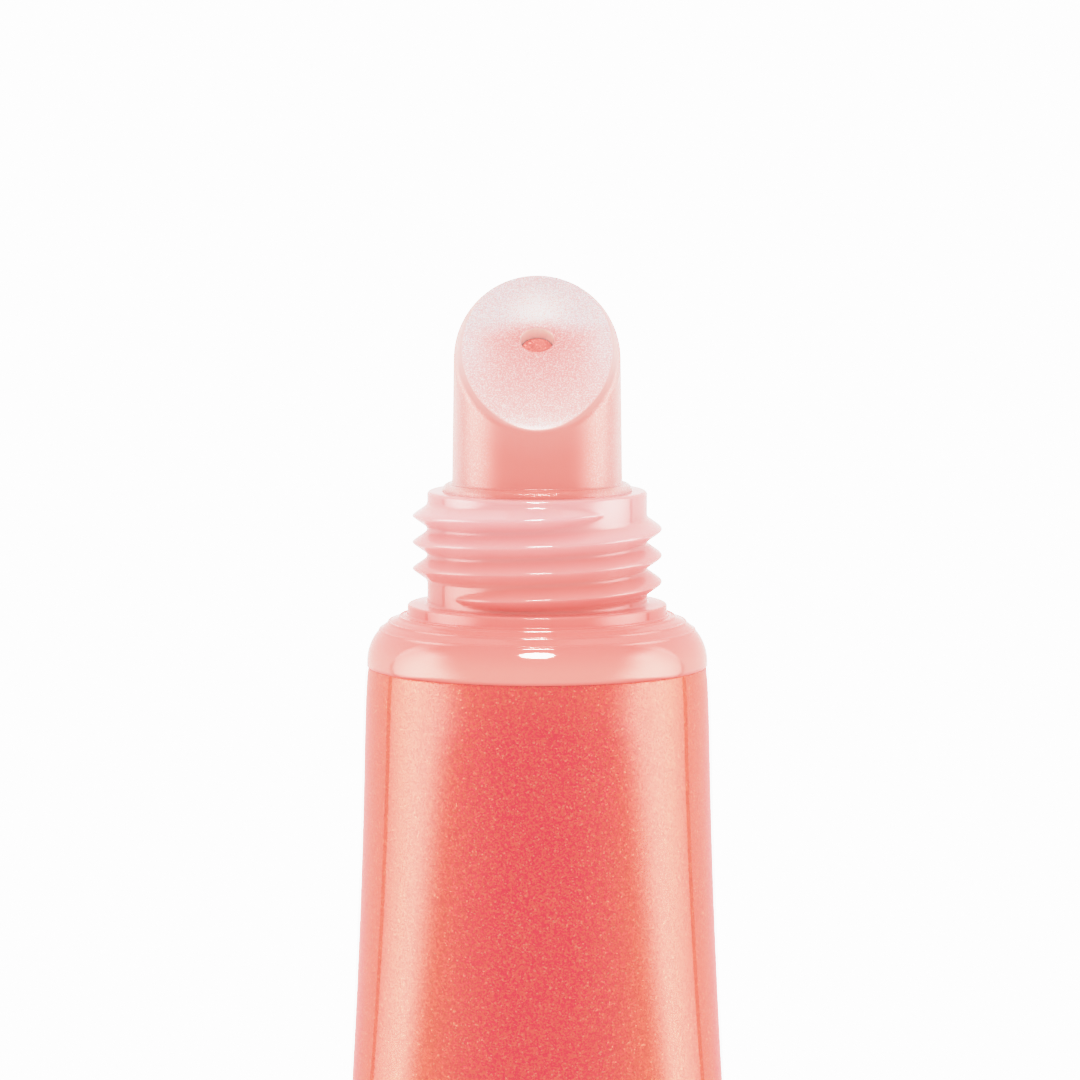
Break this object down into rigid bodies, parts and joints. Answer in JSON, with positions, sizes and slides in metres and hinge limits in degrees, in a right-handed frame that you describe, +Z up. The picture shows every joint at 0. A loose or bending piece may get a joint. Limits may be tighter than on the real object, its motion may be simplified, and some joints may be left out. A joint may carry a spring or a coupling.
{
  "type": "lip gloss tube",
  "caption": "Clear squeeze tube of shimmering coral lip gloss with a slanted applicator tip on a threaded neck, and a screw cap lifted off above it.",
  "frame": {"origin": "centre of the flat end of the welded band, at the bottom of the tube", "axes": "+Z up the tube towards its tip, +X along the welded band, -Y the side that the slanted face looks to"},
  "size_m": [0.0302, 0.0192, 0.1393],
  "materials": {
    "clear_sleeve": "clear, high gloss",
    "milky_head": "milky, glossy, slightly see-through",
    "frosted_tip": "milky, with a sparkling frosted face",
    "gloss": "wet coral gloss with fine gold shimmer",
    "cap": "smooth, glossy",
    "liner": "plain moulded",
    "seal": "soft, matte"
  },
  "bodies": {
    "tube": {"tube_sleeve": "clear_sleeve", "tube_head": "milky_head", "applicator_tip": "frosted_tip", "gloss_fill": "gloss"},
    "seal": {"cap_seal": "seal"},
    "cap": {"cap_shell": "cap", "cap_liner": "liner"}
  },
  "joints": [
    {"name": "cap_lift", "type": "slide", "parent": "tube", "child": "seal", "axis": [0, 0, 1], "range_m": [-0.03662, 0]},
    {"name": "cap_turn", "type": "hinge", "parent": "seal", "child": "cap", "pos_m": [0, 0, 0.1153], "axis": [0, 0, 1], "range_deg": [-9000, 0]}
  ],
  "couplings": [
    {"joint": "cap_lift", "follows": "cap_turn", "m_per_rad": 0.00023316}
  ]
}
